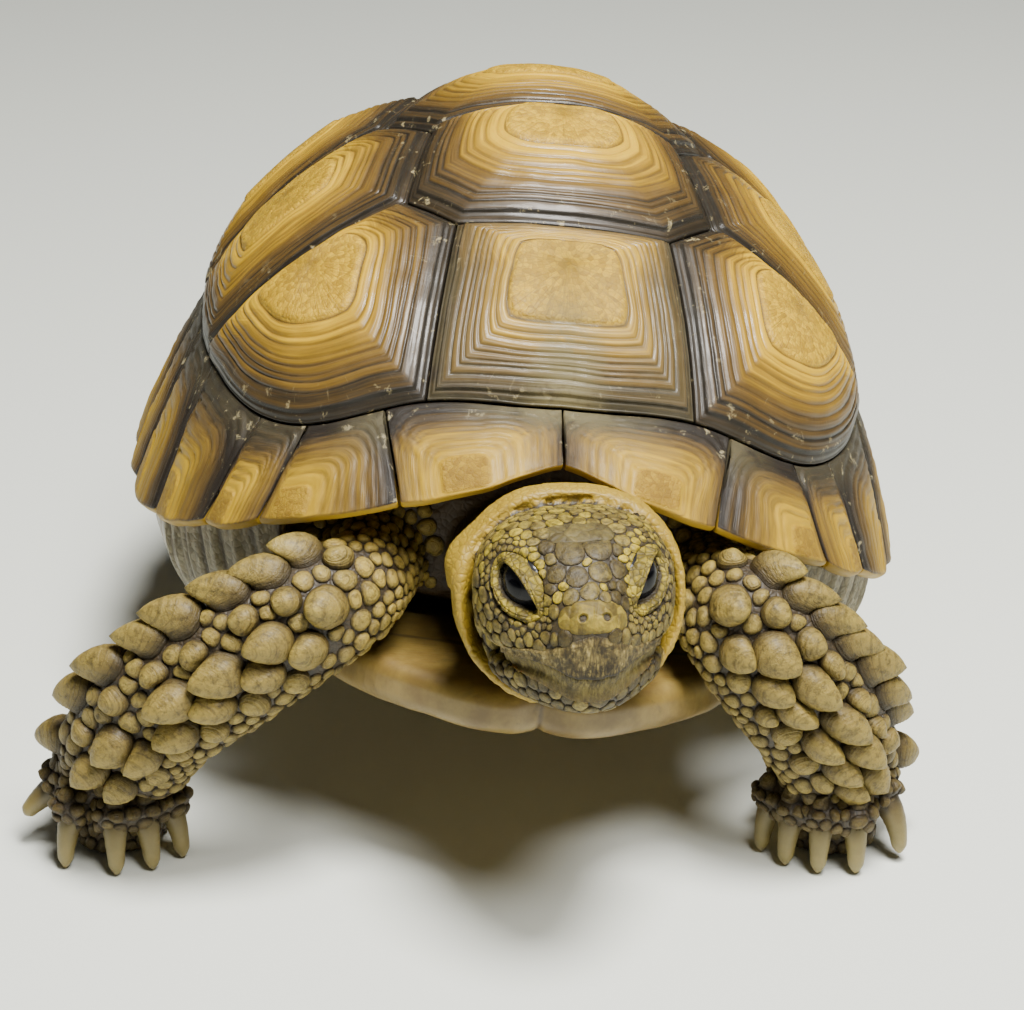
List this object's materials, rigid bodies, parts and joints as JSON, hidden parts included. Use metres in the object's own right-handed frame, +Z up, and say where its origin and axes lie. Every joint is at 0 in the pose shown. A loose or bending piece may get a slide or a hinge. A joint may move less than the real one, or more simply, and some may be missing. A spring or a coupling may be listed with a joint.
{
  "type": "tortoise model",
  "caption": "Life-size still model of a juvenile sulcata tortoise standing with its head drawn up to the collar; it rests on the flat soles of its feet.",
  "frame": {"origin": "middle of the bounding box in plan, at the level of the soles", "axes": "+Z up, the animal faces -Y, its left side is +X"},
  "size_m": [0.1257, 0.156, 0.0924],
  "materials": {
    "scute": "satin keratin, golden tan with dark growth rings",
    "marginal_scute": "satin keratin, yellow-brown",
    "plastron_scute": "smooth yellow-cream keratin with brown smudges",
    "head_skin": "scaly grey-brown skin",
    "collar_skin": "wrinkled yellow skin",
    "leg_skin": "khaki skin with large horny scales",
    "inner_skin": "dark skin inside the shell openings",
    "claw_horn": "dull horn",
    "eye": "wet black"
  },
  "bodies": {
    "root": {"claw_front_left_1": "claw_horn", "claw_front_left_2": "claw_horn", "claw_front_left_3": "claw_horn", "claw_front_left_4": "claw_horn", "claw_front_left_5": "claw_horn", "claw_front_right_1": "claw_horn", "claw_front_right_2": "claw_horn", "claw_front_right_3": "claw_horn", "claw_front_right_4": "claw_horn", "claw_front_right_5": "claw_horn", "claw_rear_left_1": "claw_horn", "claw_rear_left_2": "claw_horn", "claw_rear_left_3": "claw_horn", "claw_rear_left_4": "claw_horn", "claw_rear_right_1": "claw_horn", "claw_rear_right_2": "claw_horn", "claw_rear_right_3": "claw_horn", "claw_rear_right_4": "claw_horn", "costal_left_1": "scute", "costal_left_2": "scute", "costal_left_3": "scute", "costal_left_4": "scute", "costal_right_1": "scute", "costal_right_2": "scute", "costal_right_3": "scute", "costal_right_4": "scute", "eye_left": "eye", "eye_right": "eye", "head": "head_skin", "leg_front_left": "leg_skin", "leg_front_right": "leg_skin", "leg_rear_left": "leg_skin", "leg_rear_right": "leg_skin", "lower_jaw": "head_skin", "marginal_left_1": "marginal_scute", "marginal_left_2": "marginal_scute", "marginal_left_3": "marginal_scute", "marginal_left_4": "marginal_scute", "marginal_left_bridge": "marginal_scute", "marginal_left_rear_1": "marginal_scute", "marginal_left_rear_2": "marginal_scute", "marginal_right_1": "marginal_scute", "marginal_right_2": "marginal_scute", "marginal_right_3": "marginal_scute", "marginal_right_4": "marginal_scute", "marginal_right_bridge": "marginal_scute", "marginal_right_rear_1": "marginal_scute", "marginal_right_rear_2": "marginal_scute", "neck": "collar_skin", "plastron_front": "plastron_scute", "plastron_middle": "plastron_scute", "plastron_rear": "plastron_scute", "supracaudal": "marginal_scute", "tail": "leg_skin", "trunk": "inner_skin", "vertebral_1": "scute", "vertebral_2": "scute", "vertebral_3": "scute", "vertebral_4": "scute", "vertebral_5": "scute"}
  },
  "joints": []
}
